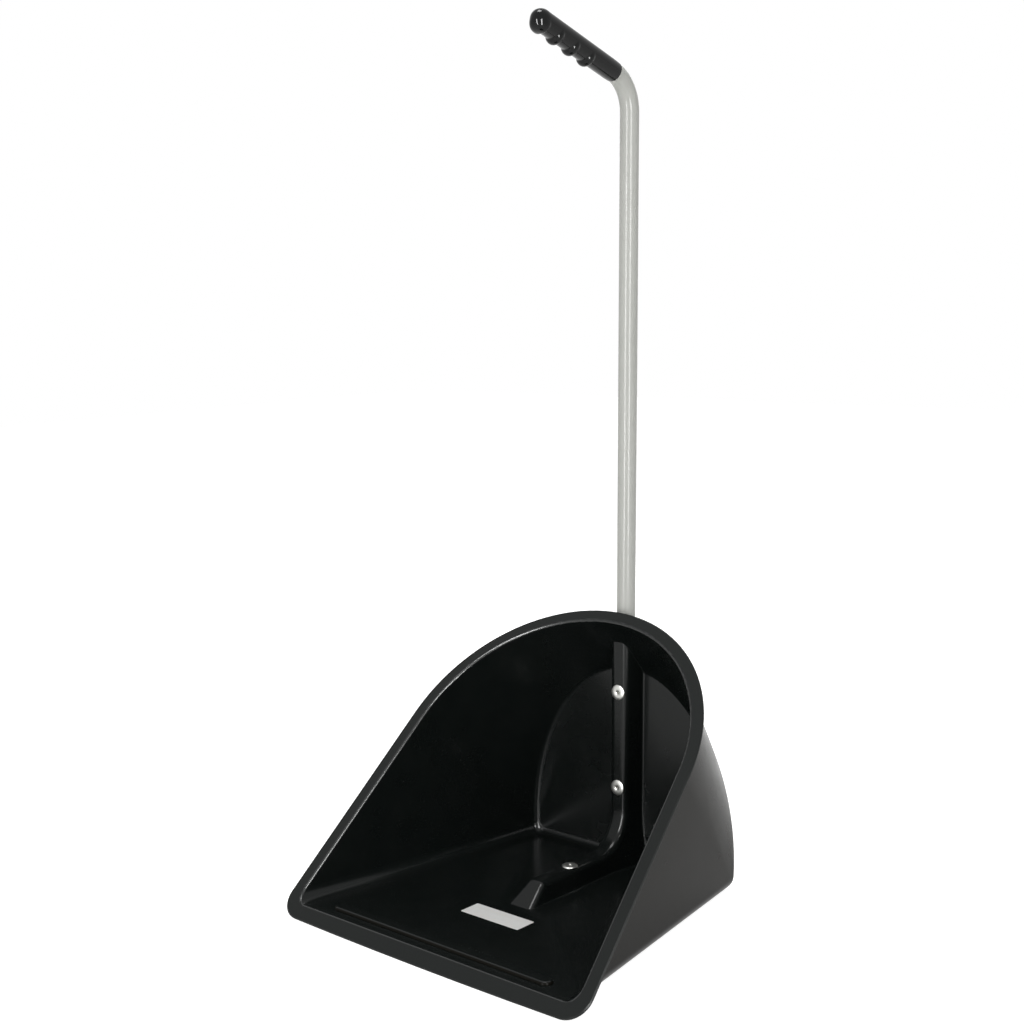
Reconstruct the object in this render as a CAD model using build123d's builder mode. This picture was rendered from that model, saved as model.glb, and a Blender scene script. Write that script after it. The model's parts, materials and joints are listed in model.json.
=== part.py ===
"""Upright manure scoop: a moulded tray riveted to a bent steel tube with a finger grip."""

import os
from math import asin, atan2, cos, degrees, hypot, radians, sin, sqrt, tan

from build123d import *

os.makedirs("parts", exist_ok=True)

# Sizes are in millimetres and degrees. While the pieces are drawn, the top of the tray's floor is z = 0,
# the upright run of the tube stands on x = y = 0, and the mouth of the tray faces -Y.

# Tray
wall = 3.2
mouth_width = 360.0  # between the side walls at the lip
mouth_length = 392.0  # from the lip to the top of the arch, in the rim plane
rim_angle = 43.25  # rim plane above the floor
side_lean = 3.7  # each straight side of the mouth leans in
draft = 8.2  # the walls close in behind the rim
floor_depth = 325.0  # from the lip to the back wall
side_round = 13.0  # inside, floor to side walls
back_round = 8.0  # inside, all round the back wall
flange_width = 14.5
flange_corner = 24.0
flange_edge_chamfer = 1.0
lip_bow = 2.0  # the front edge of the flange swells out this much
mouth_round = 3.0  # inner edge of the flange

# Bead along the lip
bead_length = 278.0
bead_width = 15.0
bead_height = 3.0
bead_setback = 20.0  # lip to the middle of the bead
bead_top_round = 2.4

# Tube
tube_diameter = 20.0
tube_wall = 1.5
tube_recess = 2.2  # tube behind the outside of the back wall
tube_proud = 0.8  # the run under the floor stands out of the underside
lower_bend = 55.0
upper_bend = 39.0
upper_corner = 826.2  # height at which the axes of the upright and the grip run cross
grip_turn = 73.6  # the grip run turns forward from upright
lower_end = 146.0  # tube end in front of the upright

# Channel that houses the tube
channel_lean = 17.0
channel_clearance = 0.3
channel_edge_round = 8.0
channel_foot_round = 3.0
ramp_top = 150.0  # start of the ramp that ends the channel, in front of the upright
ramp_run = 28.0
ramp_edge_round = 7.0

# Rivets
rivet_diameter = 4.8
rivet_hole_clearance = 0.1
rivet_flange = 17.0
rivet_flange_height = 1.5
rivet_slope = 1.6  # width of the sloping edge of the flange
rivet_dish = 0.7  # depth of the sunk middle of the flange
blind_head = 6.8
blind_head_length = 4.0
upper_rivet_height = 189.0
lower_rivet_height = 84.0
floor_rivet_reach = 95.5

# Broken mandrels that stay inside the rivets
mandrel_diameter = 2.4
mandrel_clearance = 0.05
mandrel_head = 4.6
mandrel_head_length = 2.0
mandrel_depth = 1.0  # broken end below the bottom of the dish

# Grip
grip_length = 130.2
grip_clearance = 0.1
sleeve_wall = 0.8
lip_wall = 0.3  # of the sleeve at its mouth
lip_run = 15.0  # length over which the sleeve thins to its mouth
grip_end_wall = 11.5  # solid end beyond the tube
grip_end_round = 10.0
finger_count = 3
finger_pitch = 25.0
first_finger = 46.2  # fullest place of the bump nearest to the mouth, from the mouth
finger_radius = 10.2
finger_drop = 4.3  # the axis of the bumps lies this far below the tube's
finger_round = 5.0  # steep side of each bump, towards the mouth
finger_run = 11.0  # length of the long back of each bump, towards the end
finger_tail = 6.4  # radius at which that back sinks into the sleeve
bulb_length = 16.2  # fuller end of the grip
bulb_radius = 11.2
bulb_drop = 1.9
bulb_round = 4.0  # edge towards the fingers
bulb_end_round = 9.0

# Sticker on the floor
label_width = 74.4
label_depth = 25.6
label_thickness = 0.2
label_gap = 20.2  # from the foot of the ramp to the sticker

# Worked out from the sizes above
tube_radius = tube_diameter / 2
tube_bore = tube_radius - tube_wall
tube_floor_axis = tube_radius - wall - tube_proud  # above the floor's top face
back_inside = tube_radius + tube_recess - wall
lip = back_inside - floor_depth
slope = radians(rim_angle)
lean = radians(side_lean)
arch_centre = (mouth_length - mouth_width / 2 * cos(lean)) / (1 - sin(lean))
arch_radius = mouth_length - arch_centre
rim_plane = Plane(origin=(0, lip, 0), x_dir=(-1, 0, 0), z_dir=(0, sin(slope), -cos(slope)))
rim_axis = Axis(rim_plane.origin, rim_plane.z_dir)
groove_face = tube_radius + channel_clearance
ridge_face = groove_face + wall
ridge_top = tube_floor_axis + ridge_face
ramp_pitch = atan2(ridge_top, ramp_run)
overrun = mouth_length / 10  # cutting shapes pass this far beyond what they cut
mouth_lead = overrun / 4  # the tray's inside is cut from this far in front of the rim plane


def arch_face(grow, foot, bow=0.0):
    """Outline of the mouth in the current sketch: straight leaning sides under a round arch."""
    radius = arch_radius + grow
    spring_x = radius * cos(lean)
    spring_y = arch_centre + radius * sin(lean)
    foot_x = spring_x + (spring_y - foot) * tan(lean)
    with BuildLine() as outline:
        ThreePointArc((spring_x, spring_y), (0, arch_centre + radius), (-spring_x, spring_y))
        Line((-spring_x, spring_y), (-foot_x, foot))
        if bow:
            ThreePointArc((-foot_x, foot), (0, foot - bow), (foot_x, foot))
        else:
            Line((-foot_x, foot), (foot_x, foot))
        Line((foot_x, foot), (spring_x, spring_y))
    make_face(outline.edges())


def tray_block(grow, lead=0.0):
    """Solid inside of the tray, grown outwards all round, starting lead in front of the rim plane."""
    with BuildPart() as prism:
        with BuildSketch():
            arch_face(grow / cos(radians(draft)) + lead * tan(radians(draft)), -overrun)
        extrude(amount=lead + floor_depth * sin(slope) + overrun, taper=draft)
    with BuildPart() as block:
        add(prism.part.moved(rim_plane.offset(-lead).location))
        split(bisect_by=Plane.XY.offset(-grow), keep=Keep.TOP)
        floor = block.faces().filter_by(Axis.Z).sort_by(Axis.Z)[0]
        fillet(floor.edges().filter_by(Axis.X, reverse=True), side_round + grow)
        split(bisect_by=Plane.XZ.offset(-back_inside - grow), keep=Keep.TOP)
        back = block.faces().filter_by(Axis.Y).sort_by(Axis.Y)[-1]
        fillet(back.edges(), back_round + grow)
    return block.part


def channel(grow):
    """Bar along the tube's route that widens outwards, grown by grow towards the tray's inside."""
    crown = groove_face + grow
    spread = tan(radians(channel_lean))
    half_width = crown / cos(radians(channel_lean))
    outward = lower_bend - tube_floor_axis
    end = -ramp_top - ramp_run - overrun
    with BuildPart() as bar:
        with BuildLine():
            FilletPolyline(
                (0, 0, mouth_length), (0, 0, tube_floor_axis), (0, end, tube_floor_axis), radius=lower_bend
            )
        with BuildSketch(Plane(origin=(0, 0, mouth_length), x_dir=(1, 0, 0), z_dir=(0, 0, -1))) as section:
            with BuildLine():
                Polyline(
                    (-half_width - outward * spread, -outward),
                    (-half_width + crown * spread, crown),
                    (half_width - crown * spread, crown),
                    (half_width + outward * spread, -outward),
                    close=True,
                )
            make_face()
            fillet(section.vertices().group_by(Axis.Y)[-1], channel_edge_round - wall + grow)
        sweep()
        with BuildSketch(Plane.YZ):
            ramp_start = -ramp_top + (wall - grow) / sin(ramp_pitch)
            reach = overrun / tan(ramp_pitch)
            with BuildLine():
                Polyline(
                    (ramp_start + reach, ridge_top + overrun),
                    (ramp_start - 2 * reach, ridge_top - 2 * overrun),
                    (2 * end, ridge_top - 2 * overrun),
                    (2 * end, ridge_top + overrun),
                    close=True,
                )
            make_face()
        extrude(amount=mouth_width, both=True, mode=Mode.SUBTRACT)
        if grow:
            ramp = bar.faces().filter_by(Axis((0, 0, 0), (0, -sin(ramp_pitch), cos(ramp_pitch))))[0]
            fillet(ramp.edges().sort_by(Axis.Z)[1:], ramp_edge_round)
    return bar.part


def lip_bead(grow):
    """Round-ended bar under the front of the floor, grown by grow towards the tray's inside."""
    inset = 2 * (wall - grow)
    with BuildPart() as bar:
        with BuildSketch(Plane.XY.offset(-wall)):
            with Locations((0, lip + bead_setback)):
                SlotOverall(bead_length - inset, bead_width - inset)
        extrude(amount=bead_height + grow)
        if grow:
            fillet(bar.faces().sort_by(Axis.Z)[-1].edges(), bead_top_round)
    return bar.part


# Seats of the rivets: on the face of the channel, pointing into the tray
rivet_seats = {
    "upper_back": Plane(origin=(0, -ridge_face, upper_rivet_height), x_dir=(1, 0, 0), z_dir=(0, -1, 0)),
    "lower_back": Plane(origin=(0, -ridge_face, lower_rivet_height), x_dir=(1, 0, 0), z_dir=(0, -1, 0)),
    "floor": Plane(origin=(0, -floor_rivet_reach, ridge_top), x_dir=(1, 0, 0), z_dir=(0, 0, 1)),
}


# Scoop tray: one moulding, with the channel for the tube standing up inside it
outside = tray_block(wall)
inside = tray_block(0, lead=mouth_lead)
ridge = channel(wall)
groove = channel(0)

with BuildPart() as hollow:
    add(inside)
    add(ridge, mode=Mode.SUBTRACT)
    fillet(new_edges(inside, ridge, combined=hollow.part), channel_foot_round)
    add(lip_bead(wall), mode=Mode.SUBTRACT)

with BuildPart() as scoop_tray:
    with BuildSketch(rim_plane):
        arch_face(flange_width, -flange_width, lip_bow)
    extrude(amount=wall)
    fillet(scoop_tray.edges().filter_by(rim_axis).sort_by(Axis.Z)[:2], flange_corner)
    chamfer(scoop_tray.faces().filter_by(rim_axis).edges(), flange_edge_chamfer)
    add(outside)
    add(hollow.part, mode=Mode.SUBTRACT)
    rim = scoop_tray.faces().filter_by(rim_axis).sort_by(rim_axis)[0]
    fillet(rim.inner_wires()[0].edges(), mouth_round)
    add(groove, mode=Mode.SUBTRACT)
    add(lip_bead(0), mode=Mode.SUBTRACT)
    for seat in rivet_seats.values():
        with BuildSketch(seat):
            Circle(rivet_diameter / 2 + rivet_hole_clearance)
        extrude(amount=-ridge_face, mode=Mode.SUBTRACT)
scoop_tray.part.label = "scoop_tray"

# Handle tube: one bent steel tube from under the floor to the end of the grip
turn = radians(grip_turn)
grip_mouth = upper_bend * tan(turn / 2)  # from the crossing of the axes to the end of the bend
tube_top = grip_mouth + grip_length - grip_end_wall
corner = Vector(0, 0, upper_corner)
grip_run = Vector(0, -sin(turn), cos(turn))

with BuildPart() as handle_tube:
    with BuildLine() as route:
        FilletPolyline(
            (0, -lower_end, tube_floor_axis),
            (0, 0, tube_floor_axis),
            corner,
            corner + grip_run * tube_top,
            radius=[lower_bend, upper_bend],
        )
    with BuildSketch(Plane(origin=route.line @ 0, z_dir=route.line % 0)):
        Circle(tube_radius)
        Circle(tube_bore, mode=Mode.SUBTRACT)
    sweep()
    for seat in rivet_seats.values():
        with BuildSketch(seat):
            Circle(rivet_diameter / 2 + rivet_hole_clearance)
        extrude(amount=-ridge_face, mode=Mode.SUBTRACT)
handle_tube.part.label = "handle_tube"

# Hand grip: a closed sleeve with a fuller end and a bump between each two fingers on its underside
grip_start = corner + grip_run * grip_mouth
grip_down = Vector(0, -cos(turn), -sin(turn))
grip_bore = tube_radius + grip_clearance
sleeve_radius = grip_bore + sleeve_wall
sleeve_end = grip_length - lip_wall  # just inside the fuller end


def grip_half(drop):
    """Plane on an axis drop below the tube's, with x along the grip and y upwards."""
    return Plane(origin=grip_start + grip_down * drop, x_dir=grip_run, z_dir=(-1, 0, 0))


def finger_bump(place):
    """Turned bump, steep towards the mouth of the grip, fullest at place."""
    steep = place - finger_round
    with BuildPart() as bump:
        with BuildSketch(grip_half(finger_drop)):
            with BuildLine():
                TangentArc((steep, finger_radius - finger_round), (place, finger_radius), tangent=(0, 1))
                TangentArc((place, finger_radius), (place + finger_run, finger_tail), tangent=(1, 0))
                Polyline(
                    (place + finger_run, finger_tail),
                    (place + finger_run, 0),
                    (steep, 0),
                    (steep, finger_radius - finger_round),
                )
            make_face()
        revolve(axis=Axis(grip_half(finger_drop).origin, grip_run))
    return bump.part


with BuildPart() as bulb:
    with BuildSketch(grip_half(bulb_drop)) as profile:
        with Locations((grip_length - bulb_length, 0)):
            Rectangle(bulb_length, bulb_radius, align=Align.MIN)
        near_corner, end_corner = profile.vertices().group_by(Axis.Y)[-1].sort_by(Axis.X)
        fillet(near_corner, bulb_round)
        fillet(end_corner, bulb_end_round)
    revolve(axis=Axis(grip_half(bulb_drop).origin, grip_run))

with BuildPart() as hand_grip:
    with BuildSketch(grip_half(0)) as profile:
        with BuildLine():
            Polyline(
                (0, 0),
                (0, grip_bore + lip_wall),
                (lip_run, sleeve_radius),
                (sleeve_end, sleeve_radius),
                (sleeve_end, 0),
                close=True,
            )
        make_face()
        fillet(profile.vertices().group_by(Axis.X)[-1].sort_by(Axis.Y)[-1], grip_end_round)
    revolve(axis=Axis(grip_start, grip_run))
    add(bulb.part)
    for finger in range(finger_count):
        add(finger_bump(first_finger + finger * finger_pitch))
    with BuildSketch(Plane(origin=grip_start, z_dir=grip_run)):
        Circle(grip_bore)
    extrude(amount=grip_length - grip_end_wall, mode=Mode.SUBTRACT)
hand_grip.part.label = "hand_grip"

# Blind rivets and their broken mandrels, drawn half and turned about the middle of their seats
head_seat = sqrt(tube_bore**2 - (blind_head / 2) ** 2) - rivet_hole_clearance - ridge_face
head_end = head_seat - blind_head_length
rivet_bore = mandrel_diameter / 2 + mandrel_clearance
dish_bottom = rivet_flange_height - rivet_dish
fastenings = []
for place, seat in rivet_seats.items():
    half = Plane(origin=seat.origin, x_dir=seat.x_dir, z_dir=-seat.y_dir)
    centre_line = Axis(seat.origin, seat.z_dir)
    with BuildPart() as rivet:
        with BuildSketch(half):
            with BuildLine():
                Polyline(
                    (rivet_bore, dish_bottom),
                    (rivet_bore, head_end),
                    (blind_head / 2, head_end),
                    (blind_head / 2, head_seat),
                    (rivet_diameter / 2, head_seat),
                    (rivet_diameter / 2, 0),
                    (rivet_flange / 2, 0),
                    (rivet_flange / 2 - rivet_slope, rivet_flange_height),
                    (rivet_bore + rivet_dish, rivet_flange_height),
                    close=True,
                )
            make_face()
        revolve(axis=centre_line)
    rivet.part.label = f"{place}_rivet"
    fastenings.append(rivet)
    with BuildPart() as mandrel:
        with BuildSketch(half):
            with BuildLine():
                Polyline(
                    (0, dish_bottom - mandrel_depth),
                    (mandrel_diameter / 2, dish_bottom - mandrel_depth),
                    (mandrel_diameter / 2, head_end),
                    (mandrel_head / 2, head_end),
                    (mandrel_head / 2, head_end - mandrel_head_length),
                    (0, head_end - mandrel_head_length),
                    close=True,
                )
            make_face()
        revolve(axis=centre_line)
    mandrel.part.label = f"{place}_mandrel"
    fastenings.append(mandrel)

# Blank label: a plain sticker on the floor of the tray
with BuildPart() as blank_label:
    with BuildSketch():
        with Locations((0, -ramp_top - ramp_run - label_gap)):
            Rectangle(label_width, label_depth, align=(Align.CENTER, Align.MAX))
    extrude(amount=label_thickness)
blank_label.part.label = "blank_label"

# The scoop stands on the corner behind its lip and the round of its heel, so it leans back a little.
# The origin ends up at the bottom centre of the whole scoop.
lip_out = flange_width + lip_bow - flange_edge_chamfer
lip_to_heel_y = back_inside - back_round - lip + lip_out * cos(slope) - wall * sin(slope)
lip_to_heel_z = back_round + lip_out * sin(slope) + wall * cos(slope)
rise = asin((back_round + wall) / hypot(lip_to_heel_y, lip_to_heel_z))
lean_back = degrees(atan2(lip_to_heel_z, lip_to_heel_y) - rise)
pieces = [scoop_tray, handle_tube, hand_grip, *fastenings, blank_label]
for piece in pieces:
    piece.part.move(Location((0, 0, 0), (-lean_back, 0, 0)))
box = Compound([piece.part for piece in pieces]).bounding_box()
bottom_centre = Vector(box.center().X, box.center().Y, box.min.Z)
for piece in pieces:
    piece.part.move(Location(-bottom_centre))
    export_step(piece.part, f"parts/{piece.part.label}.step")
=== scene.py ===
import json
import math

import bmesh
import bpy
from mathutils import Matrix, Vector


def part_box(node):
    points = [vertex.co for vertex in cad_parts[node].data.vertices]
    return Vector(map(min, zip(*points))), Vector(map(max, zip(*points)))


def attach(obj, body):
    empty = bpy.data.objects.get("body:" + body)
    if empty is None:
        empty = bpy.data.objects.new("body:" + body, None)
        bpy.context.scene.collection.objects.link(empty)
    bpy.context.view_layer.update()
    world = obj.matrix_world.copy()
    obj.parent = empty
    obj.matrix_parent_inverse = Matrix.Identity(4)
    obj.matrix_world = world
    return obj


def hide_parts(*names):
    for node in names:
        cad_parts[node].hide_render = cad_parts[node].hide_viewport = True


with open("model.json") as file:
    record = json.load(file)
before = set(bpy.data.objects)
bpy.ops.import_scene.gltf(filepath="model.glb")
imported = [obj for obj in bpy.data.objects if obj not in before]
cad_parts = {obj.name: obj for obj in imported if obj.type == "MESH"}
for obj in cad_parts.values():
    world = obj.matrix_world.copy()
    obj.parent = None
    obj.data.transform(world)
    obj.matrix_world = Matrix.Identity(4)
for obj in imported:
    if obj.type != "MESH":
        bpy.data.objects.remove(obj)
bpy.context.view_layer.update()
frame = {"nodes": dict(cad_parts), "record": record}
nodes = frame["nodes"]
mm = 0.001
print("frame loaded:", sorted(nodes))

# Pieces are drawn in millimetres with the tube upright, then leaned back as the scoop stands
standing = {"leanBack": 1.7119, "bottomCentre": (0.0, -146.859, -3.23345)}
stand = (
    Matrix.Translation(Vector(standing["bottomCentre"]) * -mm)
    @ Matrix.Rotation(math.radians(-standing["leanBack"]), 4, "X")
    @ Matrix.Scale(mm, 4)
)


def hexColour(code):
    # sRGB to linear
    channels = [int(code[start : start + 2], 16) / 255 for start in (1, 3, 5)]
    linear = [tint / 12.92 if tint <= 0.04045 else ((tint + 0.055) / 1.055) ** 2.4 for tint in channels]
    return (*linear, 1.0)


def addNode(tree, kind, values=None, links=None, **settings):
    node = tree.nodes.new(kind)
    for name, value in settings.items():
        setattr(node, name, value)
    for socket, value in (values or {}).items():
        node.inputs[socket].default_value = value
    for socket, source in (links or {}).items():
        tree.links.new(source, node.inputs[socket])
    return node


def newMaterial(name):
    material = bpy.data.materials.new(name)
    material.use_nodes = True
    material.node_tree.nodes.clear()
    return material, material.node_tree


def perMetre(sizeInMm):
    return 1 / (sizeInMm * mm)


def shadeSmooth(bm, crispAngle=None):
    for face in bm.faces:
        face.smooth = True
    if crispAngle:
        for edge in bm.edges:
            edge.smooth = edge.calc_face_angle(math.pi) < math.radians(crispAngle)


def makePiece(name, bm, materials, node):
    mesh = bpy.data.meshes.new(name)
    bm.to_mesh(mesh)
    bm.free()
    for material in materials:
        mesh.materials.append(material)
    piece = bpy.data.objects.new(name, mesh)
    bpy.context.scene.collection.objects.link(piece)
    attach(piece, "root")
    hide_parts(node)
    return piece


# Finishes: tones and roughness drift in clouds over a relief, and shader values are the same all over

# Moulded polypropylene, polished side of the mould: deep black with a soft gloss
insideFinish = {
    "tones": ("#0e1211", "#141716"), "cloudMm": 25, "detail": 5.0, "rough": (0.19, 0.22),
    "shader": {"IOR": 1.49, "Specular IOR Level": 0.2},
}
# The rounded edge inside the rim is tinted lighter than the inside as a painted highlight line, and it also
# reflects more
edgeHighlightFinish = {
    "tones": ("#141716", "#1a1d1c"), "cloudMm": 25, "detail": 5.0, "rough": (0.24, 0.28),
    "shader": {"IOR": 1.49, "Specular IOR Level": 0.45},
}
# The same plastic from the eroded side of the mould: a fine satin grain that greys the black
outsideFinish = {
    "tones": ("#12110e", "#181713"), "cloudMm": 40, "detail": 4.0, "rough": (0.22, 0.28),
    # the real grain is finer, and is drawn this coarse so that it shows
    "relief": {"sizeMm": 0.9, "detail": 2.0, "strength": 0.1, "depthMm": 0.05},
    "shader": {"IOR": 1.49, "Specular IOR Level": 0.04},
}
# The rim is the most worked face of the mould: matt, with no clear reflections
rimFinish = {
    # this grain, too, is drawn coarser than the real one
    "tones": ("#111413", "#181b1a"), "cloudMm": 1.1, "detail": 3.0,
    "relief": {"sizeMm": 1.1, "detail": 3.0, "strength": 0.2, "depthMm": 0.06},
    "shader": {"IOR": 1.49, "Specular IOR Level": 0.15, "Roughness": 0.36},
}
# Powder coat on steel tube: pale warm grey, softly glossy, with a faint orange peel
coatFinish = {
    "tones": ("#c8c9c4", "#c0c1bc"), "cloudMm": 60, "detail": 3.0,
    "relief": {"sizeMm": 1.6, "detail": 1.0, "strength": 0.02, "depthMm": 0.05},
    "shader": {"IOR": 1.5, "Specular IOR Level": 0.13, "Roughness": 0.2},
}
# Dipped soft vinyl: black, rubbery gloss, slightly uneven where it set
gripFinish = {
    "tones": ("#0b0c0c", "#101111"), "cloudMm": 6, "detail": 3.0, "rough": (0.06, 0.1),
    "relief": {"sizeMm": 6, "detail": 3.0, "strength": 0.02, "depthMm": 0.1},
    "shader": {"IOR": 1.53, "Specular IOR Level": 0.18},
}
# Pressed aluminium: pale and dull, with small press marks
rivetFinish = {
    "tones": ("#c2c2be", "#aeaeaa"), "cloudMm": 1.2, "detail": 4.0, "rough": (0.3, 0.38),
    "relief": {"sizeMm": 1.2, "detail": 4.0, "strength": 0.15, "depthMm": 0.05},
    "shader": {"Metallic": 1.0},
}
# Broken steel: dark and uneven in the bore of a rivet
mandrelFinish = {
    "tones": ("#6d6b67", "#45433f"), "cloudMm": 0.6, "detail": 4.0, "rough": (0.45, 0.65),
    "relief": {"sizeMm": 0.6, "detail": 4.0, "strength": 0.15, "depthMm": 0.05},
    "shader": {"Metallic": 1.0},
}
# White vinyl film: clean, slightly shiny, with small dents where it was rubbed down
filmFinish = {
    "tones": ("#f8f8f6", "#f1f1ee"), "cloudMm": 6, "detail": 2.0,
    "relief": {"sizeMm": 6, "detail": 2.0, "strength": 0.15, "depthMm": 0.1},
    "shader": {"IOR": 1.46, "Roughness": 0.32},
}
noiseLow, noiseHigh = 0.3, 0.7  # nearly all of a noise lies between these


def makeFinish(name, finish):
    material, tree = newMaterial(name)
    place = addNode(tree, "ShaderNodeTexCoord").outputs["Object"]
    cloud = addNode(
        tree, "ShaderNodeTexNoise", {"Scale": perMetre(finish["cloudMm"]), "Detail": finish["detail"]},
        {"Vector": place},
    )
    fresh, worn = finish["tones"]
    tone = addNode(
        tree, "ShaderNodeMix", {"A": hexColour(fresh), "B": hexColour(worn)},
        {"Factor": cloud.outputs["Fac"]}, data_type="RGBA",
    )
    links = {"Base Color": tone.outputs["Result"]}
    if "rough" in finish:
        smoothest, dullest = finish["rough"]
        rough = addNode(
            tree, "ShaderNodeMapRange",
            {"From Min": noiseLow, "From Max": noiseHigh, "To Min": smoothest, "To Max": dullest},
            {"Value": cloud.outputs["Fac"]},
        )
        links["Roughness"] = rough.outputs["Result"]
    if "relief" in finish:
        relief = finish["relief"]
        grain = addNode(
            tree, "ShaderNodeTexNoise", {"Scale": perMetre(relief["sizeMm"]), "Detail": relief["detail"]},
            {"Vector": place},
        )
        bump = addNode(
            tree, "ShaderNodeBump", {"Strength": relief["strength"], "Distance": relief["depthMm"] * mm},
            {"Height": grain.outputs["Fac"]},
        )
        links["Normal"] = bump.outputs["Normal"]
    shader = addNode(tree, "ShaderNodeBsdfPrincipled", finish["shader"], links)
    addNode(tree, "ShaderNodeOutputMaterial", links={"Surface": shader.outputs["BSDF"]})
    return material


insidePlastic = makeFinish("polishedPolypropylene", insideFinish)
edgeHighlightPlastic = makeFinish("highlightEdgePolypropylene", edgeHighlightFinish)
outsidePlastic = makeFinish("erodedPolypropylene", outsideFinish)
rimPlastic = makeFinish("mattPolypropylene", rimFinish)
tubePaint = makeFinish("powderCoat", coatFinish)
gripVinyl = makeFinish("softVinyl", gripFinish)
rivetMetal = makeFinish("pressedAluminium", rivetFinish)
mandrelMetal = makeFinish("brokenSteel", mandrelFinish)
stickerFilm = makeFinish("whiteFilm", filmFinish)
print("materials made")

# Tray: the moulding as one welded skin, so that its rounds shade smoothly into its flats
tray = {
    "weldMm": 0.004, "sliverMm": 0.0001, "crispAngle": 35, "flatWeight": 80,
    "rimDepthMm": 3.3,  # the flange's thickness and a little to spare
    "rimMiddleMm": 1.6,  # half of that thickness
    "rimTurn": -0.5, "edgeTurn": (0.35, 0.98),  # 1 is turned straight out of the mouth, -1 straight back
}


def traySkin(face, rimPoint, rimNormal, mouthMiddle):
    turn = face.normal.dot(rimNormal)
    deepest = max((rimPoint - vert.co).dot(rimNormal) for vert in face.verts)
    inRim = deepest < tray["rimDepthMm"] * mm
    if face.normal.dot(mouthMiddle - face.calc_center_median()) > 0:
        rounded = tray["edgeTurn"][0] < turn < tray["edgeTurn"][1]
        return "edge" if inRim and rounded else "inside"
    return "rim" if inRim and turn > tray["rimTurn"] else "outside"


def buildTray():
    rim = next(mount for mount in frame["record"]["mounts"] if mount["name"] == "rim_face")
    rimPoint = Vector(rim["pos_m"])
    rimNormal = Vector(rim["axis"])
    trayLow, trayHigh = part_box("scoop_tray")
    mouthMiddle = (trayLow + trayHigh) / 2
    mouthMiddle -= rimNormal * ((mouthMiddle - rimPoint).dot(rimNormal) + tray["rimMiddleMm"] * mm)
    bm = bmesh.new()
    bm.from_mesh(nodes["scoop_tray"].data)
    bmesh.ops.remove_doubles(bm, verts=bm.verts, dist=tray["weldMm"] * mm)
    bmesh.ops.dissolve_degenerate(bm, dist=tray["sliverMm"] * mm, edges=bm.edges)
    shadeSmooth(bm, tray["crispAngle"])
    # the edge skin carries the painted highlight line on the rim's inner rounding
    skins = {"inside": insidePlastic, "outside": outsidePlastic, "rim": rimPlastic, "edge": edgeHighlightPlastic}
    skinNames = list(skins)
    for face in bm.faces:
        face.material_index = skinNames.index(traySkin(face, rimPoint, rimNormal, mouthMiddle))
    moulding = makePiece("trayMoulding", bm, skins.values(), "scoop_tray")
    # the loose triangles' own normals go, because the welded skin gets new ones
    if "custom_normal" in moulding.data.attributes:
        moulding.data.attributes.remove(moulding.data.attributes["custom_normal"])
    weighted = moulding.modifiers.new("flatFaces", "WEIGHTED_NORMAL")
    weighted.mode = "FACE_AREA"
    weighted.weight = tray["flatWeight"]
    weighted.keep_sharp = True
    print("tray made:", len(moulding.data.polygons), "faces")


buildTray()

# Tube: a ring drawn along its straight runs and two bends, then given its wall
tube = {
    "radius": 10.0, "wall": 1.5, "sides": 56, "lowerEnd": 146.0, "floorAxis": 6.0, "lowerBend": 55.0,
    "upperCorner": 826.2, "upperBend": 39.0, "gripTurn": 73.6, "gripRun": 118.7, "bendSteps": 24,
    "endRound": 0.3, "endSegments": 2, "endAngle": 50,
}
gripTurn = math.radians(tube["gripTurn"])
bendRun = tube["upperBend"] * math.tan(gripTurn / 2)  # from the upper corner to either end of its bend
gripDirection = Vector((0, -math.sin(gripTurn), math.cos(gripTurn)))
gripStart = Vector((0, 0, tube["upperCorner"])) + gripDirection * bendRun


def pullRing(bm, ring, shift):
    # draws a ring out straight and gives the new ring at its end
    made = bmesh.ops.extrude_edge_only(bm, edges=ring)["geom"]
    verts = [part for part in made if isinstance(part, bmesh.types.BMVert)]
    bmesh.ops.translate(bm, verts=verts, vec=shift)
    fresh = set(verts)
    edges = [part for part in made if isinstance(part, bmesh.types.BMEdge)]
    return [edge for edge in edges if edge.verts[0] in fresh and edge.verts[1] in fresh]


def bendRing(bm, ring, centre, angle):
    # draws a ring round a bend and gives the new ring at its end
    verts = list({vert for edge in ring for vert in edge.verts})
    made = bmesh.ops.spin(
        bm, geom=ring + verts, cent=centre, axis=(1, 0, 0), angle=angle, steps=tube["bendSteps"],
    )["geom_last"]
    return [part for part in made if isinstance(part, bmesh.types.BMEdge)]


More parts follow.
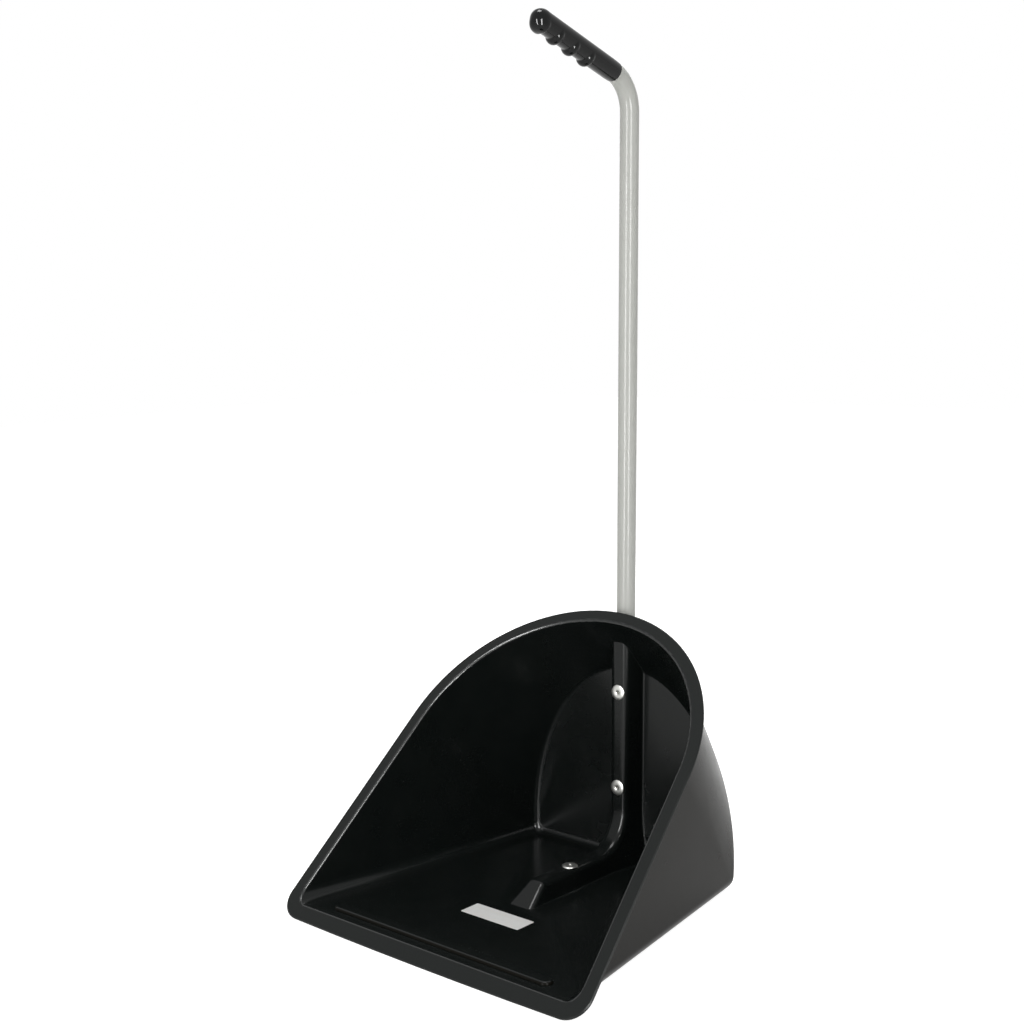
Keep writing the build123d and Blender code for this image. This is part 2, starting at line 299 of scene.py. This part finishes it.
def buildTube():
    bm = bmesh.new()
    lowerEnd = Matrix.Translation((0, -tube["lowerEnd"], tube["floorAxis"]))
    facingBack = Matrix.Rotation(math.radians(90), 4, "X")
    bmesh.ops.create_circle(bm, segments=tube["sides"], radius=tube["radius"], matrix=lowerEnd @ facingBack)
    ring = pullRing(bm, list(bm.edges), (0, tube["lowerEnd"] - tube["lowerBend"], 0))
    lowerCentre = (0, -tube["lowerBend"], tube["floorAxis"] + tube["lowerBend"])
    ring = bendRing(bm, ring, lowerCentre, math.radians(90))
    upperStart = tube["upperCorner"] - bendRun
    ring = pullRing(bm, ring, (0, 0, upperStart - lowerCentre[2]))
    ring = bendRing(bm, ring, (0, -tube["upperBend"], upperStart), gripTurn)
    pullRing(bm, ring, gripDirection * tube["gripRun"])
    bmesh.ops.recalc_face_normals(bm, faces=bm.faces)
    shadeSmooth(bm)
    bmesh.ops.transform(bm, matrix=stand, verts=bm.verts)
    pipe = makePiece("handleTube", bm, [tubePaint], "handle_tube")
    wall = pipe.modifiers.new("tubeWall", "SOLIDIFY")
    wall.thickness = tube["wall"] * mm
    wall.offset = -1
    wall.use_even_offset = True
    cutEnds = pipe.modifiers.new("cutEnds", "BEVEL")
    cutEnds.width = tube["endRound"] * mm
    cutEnds.segments = tube["endSegments"]
    cutEnds.limit_method = "ANGLE"
    cutEnds.angle_limit = math.radians(tube["endAngle"])
    print("tube made:", len(pipe.data.polygons), "faces before it gets its wall")


buildTube()

# Grip: a sleeve that thins to its mouth, with bumps between the fingers and a fuller, closed end
grip = {
    "clearance": 0.1, "radius": 10.9, "lipRun": 15.0, "lipDrop": 0.5, "blend": 0.6,
    "bumps": (46.2, 71.2, 96.2), "bumpRadius": 10.7, "bumpDrop": 3.9,
    "steepRun": 6.2, "steepPower": 2.0,  # a bump's side towards the mouth
    "backRun": 7.6, "backPower": 2.2,  # and its side towards the closed end
    "bulb": tube["gripRun"],  # fullest where the tube ends
    "bulbReach": 13.1, "bulbRun": 5.2, "bulbPower": 2.65, "bulbSquareness": 2.8,
    "endRun": 12.7, "levelPower": 2.0, "topPower": 2.05, "lowPower": 2.4, "endSquareness": 2.0,
    "sides": 128, "step": 0.8, "finestStep": 0.05, "stepShare": 0.125, "crispAngle": 60,
    "thinnest": 0.01,  # keeps the tip from closing to one point
}
gripLength = grip["bulb"] + grip["endRun"]


def circleReach(drop, radius, angle):
    # from the tube's axis to a circle whose middle lies drop below it, at an angle from straight down
    inside = radius * radius - (drop * math.sin(angle)) ** 2
    return drop * math.cos(angle) + math.sqrt(inside) if radius > 0 and inside > 0 else 0.0


def ovalReach(wide, tall, squareness, angle):
    # from the tube's axis to an oval around it: 2 is a plain oval, and more is squarer
    across = (abs(math.sin(angle)) / wide) ** squareness
    upright = (abs(math.cos(angle)) / tall) ** squareness
    return (across + upright) ** (-1 / squareness)


def blended(first, second, width):
    # the longer of two reaches, rounded where they meet
    overlap = max(width - abs(first - second), 0) / width
    return max(first, second) + overlap * overlap * width / 4


def swelling(offset, run, power):
    # share of its full size that a bump has at an offset from its fullest place
    return max(1 - abs(offset / run) ** power, 0) ** (1 / power)


def bulbSize(along, fullest, endPower):
    ended = along > grip["bulb"]
    run, power = (grip["endRun"], endPower) if ended else (grip["bulbRun"], grip["bulbPower"])
    return max(fullest * swelling(along - grip["bulb"], run, power), grip["thinnest"])


def gripReach(along, angle):
    # from the tube's axis to the skin
    wide = bulbSize(along, grip["radius"], grip["levelPower"])
    high = bulbSize(along, grip["radius"], grip["topPower"])
    low = bulbSize(along, grip["bulbReach"], grip["lowPower"])
    upperEnd = ovalReach(wide, high, grip["endSquareness"], angle)
    reach = upperEnd if along > grip["bulb"] else grip["radius"]
    lip = 1 - min(along / grip["lipRun"], 1)
    reach -= grip["lipDrop"] * (1 - math.sqrt(1 - lip * lip))
    for middle in grip["bumps"]:
        side = "back" if along > middle else "steep"
        radius = grip["bumpRadius"] * swelling(along - middle, grip[side + "Run"], grip[side + "Power"])
        reach = blended(reach, circleReach(grip["bumpDrop"], radius, angle), grip["blend"])
    below = math.cos(angle)
    bulb = ovalReach(wide, low, grip["bulbSquareness"], angle) if below > 0 else upperEnd
    return blended(reach, bulb, grip["blend"] * max(below, grip["thinnest"]))


def ringPlaces():
    # along the grip, closer together towards both ends
    places = [0.0]
    while places[-1] < gripLength:
        near = min(places[-1], gripLength - places[-1])
        step = min(grip["step"], max(grip["finestStep"], near * grip["stepShare"]))
        places.append(min(places[-1] + step, gripLength))
    return places


def buildGrip():
    bm = bmesh.new()
    bmesh.ops.create_circle(bm, segments=grip["sides"], radius=tube["radius"] + grip["clearance"])
    mouth = list(bm.edges)
    ring = pullRing(bm, mouth, (0, 0, tube["gripRun"]))
    bmesh.ops.edgeloop_fill(bm, edges=ring)
    bored = set(bm.verts)
    ring = pullRing(bm, mouth, (0, 0, 0))
    places = ringPlaces()
    for here, following in zip(places, places[1:]):
        ring = pullRing(bm, ring, (0, 0, following - here))
    bmesh.ops.edgeloop_fill(bm, edges=ring)
    for vert in bm.verts:
        if vert not in bored:
            angle = math.atan2(vert.co.x, -vert.co.y)
            reach = gripReach(vert.co.z, angle)
            vert.co.x = reach * math.sin(angle)
            vert.co.y = -reach * math.cos(angle)
    bmesh.ops.recalc_face_normals(bm, faces=bm.faces)
    shadeSmooth(bm, grip["crispAngle"])
    up = Vector((0, math.cos(gripTurn), math.sin(gripTurn)))
    axes = Matrix((Vector((1, 0, 0)), up, gripDirection)).transposed().to_4x4()
    bmesh.ops.transform(bm, matrix=stand @ Matrix.Translation(gripStart) @ axes, verts=bm.verts)
    sleeve = makePiece("handGrip", bm, [gripVinyl], "hand_grip")
    print("grip made:", len(sleeve.data.polygons), "faces")


buildGrip()

# Blind rivets: half outlines turned about the middle of each seat, outwards from the bore
rivet = {
    "outline": (
        (1.25, -9.81), (1.25, 0.7), (1.5, 1.05), (2.3, 1.3), (3.4, 1.48), (5.0, 1.45), (6.6, 1.2),
        (7.7, 0.85), (8.3, 0.45), (8.5, 0.15), (8.5, 0.0), (2.4, 0.0), (2.4, -5.81), (3.4, -5.81),
        (3.4, -9.81),
    ),
    "steps": 48, "weld": 0.001, "crispAngle": 45,
    "seats": {
        "upperBack": ("upper_back", (0, -13.5, 189.0), (0, -1, 0)),
        "lowerBack": ("lower_back", (0, -13.5, 84.0), (0, -1, 0)),
        "floor": ("floor", (0, -95.5, 19.5), (0, 0, 1)),
    },
}


def buildRivet(name, node, seat, direction):
    bm = bmesh.new()
    outline = [bm.verts.new((radius, 0, height)) for radius, height in rivet["outline"]]
    edges = [bm.edges.new(pair) for pair in zip(outline, outline[1:] + outline[:1])]
    bmesh.ops.spin(
        bm, geom=outline + edges, cent=(0, 0, 0), axis=(0, 0, 1), angle=2 * math.pi, steps=rivet["steps"],
        use_merge=True,
    )
    bmesh.ops.remove_doubles(bm, verts=bm.verts, dist=rivet["weld"])
    bmesh.ops.recalc_face_normals(bm, faces=bm.faces)
    shadeSmooth(bm, rivet["crispAngle"])
    aim = Vector(direction).to_track_quat("Z", "Y").to_matrix().to_4x4()
    bmesh.ops.transform(bm, matrix=stand @ Matrix.Translation(seat) @ aim, verts=bm.verts)
    makePiece(name + "Rivet", bm, [rivetMetal], node + "_rivet")


for name, (node, seat, direction) in rivet["seats"].items():
    buildRivet(name, node, seat, direction)
    nodes[node + "_mandrel"].data.materials.clear()
    nodes[node + "_mandrel"].data.materials.append(mandrelMetal)
print("rivets made")

# Sticker: a thin sheet with just rounded corners, left blank
sticker = {
    "width": 74.4, "depth": 25.6, "thickness": 0.2, "corner": 1.2, "cornerSteps": 5, "middle": -211.0,
}


def buildSticker():
    bm = bmesh.new()
    bmesh.ops.create_grid(bm, x_segments=1, y_segments=1, size=0.5)
    bmesh.ops.scale(bm, vec=(sticker["width"], sticker["depth"], 1), verts=bm.verts)
    bmesh.ops.bevel(
        bm, geom=list(bm.verts), offset=sticker["corner"], offset_type="OFFSET", affect="VERTICES",
        segments=sticker["cornerSteps"], profile=0.5, material=-1,
    )
    made = bmesh.ops.extrude_face_region(bm, geom=list(bm.faces))["geom"]
    top = [part for part in made if isinstance(part, bmesh.types.BMVert)]
    bmesh.ops.translate(bm, verts=top, vec=(0, 0, sticker["thickness"]))
    bmesh.ops.recalc_face_normals(bm, faces=bm.faces)
    bmesh.ops.transform(bm, matrix=stand @ Matrix.Translation((0, sticker["middle"], 0)), verts=bm.verts)
    makePiece("blankLabel", bm, [stickerFilm], "blank_label")


buildSticker()
print("sticker made")

# Stage: a pale floor, its size in metres, that runs into a white surround
stage = {
    "floor": "#d8d8d6", "floorRough": 0.9, "size": 12.0, "seenGlow": 0.92,
    "surround": "#ffffff", "surroundLight": 0.34, "surroundSeen": 1.0,
}


def seenStraight(tree):
    # 1 where the camera sees it, also in a mirror or through glass, and 0 where it lights a surface
    path = addNode(tree, "ShaderNodeLightPath").outputs
    mirrored = addNode(
        tree, "ShaderNodeMath", links={0: path["Is Camera Ray"], 1: path["Is Glossy Ray"]},
        operation="MAXIMUM",
    )
    seen = addNode(
        tree, "ShaderNodeMath", links={0: mirrored.outputs[0], 1: path["Is Transmission Ray"]},
        operation="MAXIMUM",
    )
    return seen.outputs[0]


def buildFloor():
    bm = bmesh.new()
    bmesh.ops.create_grid(bm, x_segments=1, y_segments=1, size=stage["size"] / 2)
    mesh = bpy.data.meshes.new("studioFloor")
    bm.to_mesh(mesh)
    bm.free()
    floor = bpy.data.objects.new("studioFloor", mesh)
    bpy.context.scene.collection.objects.link(floor)
    material, tree = newMaterial("studioPaper")
    glow = addNode(
        tree, "ShaderNodeMath", {1: stage["seenGlow"]}, {0: seenStraight(tree)}, operation="MULTIPLY",
    )
    paper = {
        "Base Color": hexColour(stage["floor"]), "Roughness": stage["floorRough"],
        "Specular IOR Level": 0.0, "Emission Color": (1, 1, 1, 1),
    }
    shader = addNode(tree, "ShaderNodeBsdfPrincipled", paper, {"Emission Strength": glow.outputs[0]})
    addNode(tree, "ShaderNodeOutputMaterial", links={"Surface": shader.outputs["BSDF"]})
    mesh.materials.append(material)


def buildSurround():
    world = bpy.data.worlds.new("studioSurround")
    bpy.context.scene.world = world
    world.use_nodes = True
    tree = world.node_tree
    tree.nodes.clear()
    strength = addNode(
        tree, "ShaderNodeMapRange", {"To Min": stage["surroundLight"], "To Max": stage["surroundSeen"]},
        {"Value": seenStraight(tree)},
    )
    background = addNode(
        tree, "ShaderNodeBackground", {"Color": hexColour(stage["surround"])},
        {"Strength": strength.outputs["Result"]},
    )
    addNode(tree, "ShaderNodeOutputWorld", links={"Surface": background.outputs["Background"]})


buildFloor()
buildSurround()

# Soft boxes: each is a lamp that lights and, just before it, a lamp that only reflections show
softBoxes = {
    # metres, and watts for light and shine
    "leftStrip": {
        "place": (0.16, -1.58, 0.8), "aim": (0, 0.16, 0.7), "size": (0.28, 1.5), "light": 10, "shine": 60,
    },
    "rightStrip": {
        "place": (1.47, -0.79, 0.8), "aim": (0, 0.16, 0.7), "size": (0.28, 1.5), "light": 10, "shine": 60,
    },
    "overhead": {
        "place": (0.0, -0.1, 2.2), "aim": (0, 0, 0.2), "size": (0.6, 0.6), "light": 10, "shine": 18,
    },
    "backBox": {
        "place": (-1.0, 1.7, 1.3), "aim": (0, 0, 0.4), "size": (0.9, 1.2), "light": 18, "shine": 4,
    },
}
lampGap = 0.03  # metres from the lamp that shows back to the one that lights


def addLamp(name, box, power, setBack):
    way = (Vector(box["aim"]) - Vector(box["place"])).normalized()
    lamp = bpy.data.lights.new(name, "AREA")
    lamp.shape = "RECTANGLE"
    lamp.size, lamp.size_y = box["size"]
    lamp.energy = power
    holder = bpy.data.objects.new(name, lamp)
    holder.location = Vector(box["place"]) - way * setBack
    holder.rotation_euler = way.to_track_quat("-Z", "Y").to_euler()
    bpy.context.scene.collection.objects.link(holder)
    return holder


for name, box in softBoxes.items():
    addLamp(name + "Light", box, box["light"], lampGap).visible_glossy = False
    addLamp(name + "Shine", box, box["shine"], 0.0).visible_diffuse = False
print("stage lit")

# Camera at the photograph's place, in millimetres
photoCamera = {
    "place": (939.52, -1114.82, 618.19), "aim": (-31.29, 8.05, 402.11), "roll": -1.254, "lens": 52.734,
    "sensor": 36,
}


def buildCamera():
    camera = bpy.data.cameras.new("photoCamera")
    camera.sensor_width = photoCamera["sensor"]
    camera.lens = photoCamera["lens"]
    holder = bpy.data.objects.new("photoCamera", camera)
    place = Vector(photoCamera["place"]) * mm
    look = (Vector(photoCamera["aim"]) * mm - place).to_track_quat("-Z", "Y").to_matrix()
    rolled = look @ Matrix.Rotation(math.radians(photoCamera["roll"]), 3, "Z")
    holder.matrix_world = Matrix.Translation(place) @ rolled.to_4x4()
    bpy.context.scene.collection.objects.link(holder)
    bpy.context.scene.camera = holder


buildCamera()
bpy.context.scene.view_settings.view_transform = "Standard"
print("camera set")
